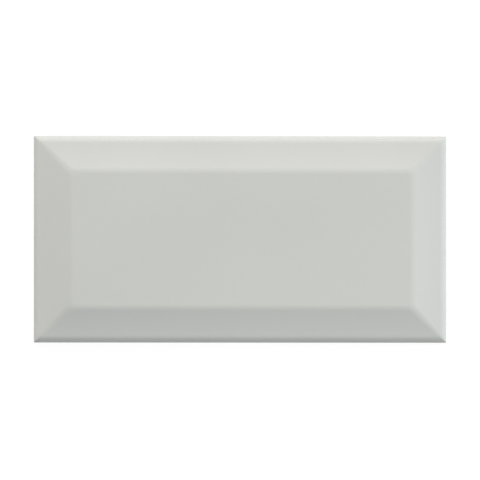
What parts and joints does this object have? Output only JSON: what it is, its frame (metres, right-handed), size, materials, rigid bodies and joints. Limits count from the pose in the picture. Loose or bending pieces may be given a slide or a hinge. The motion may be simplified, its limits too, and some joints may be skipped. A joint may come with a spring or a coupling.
{
  "type": "subway wall tile",
  "caption": "Oblong glazed wall tile with a flat middle framed by a slightly hollow bevel that is mitred at the corners, and a grooved back.",
  "frame": {"origin": "middle of the back, in the plane the tile lies on", "axes": "+X along the length, +Y across the width, +Z out of the glazed face"},
  "size_m": [0.15, 0.075, 0.008],
  "materials": {
    "glaze": "gloss"
  },
  "bodies": {
    "root": {"bevelled_tile": "glaze"}
  },
  "joints": []
}
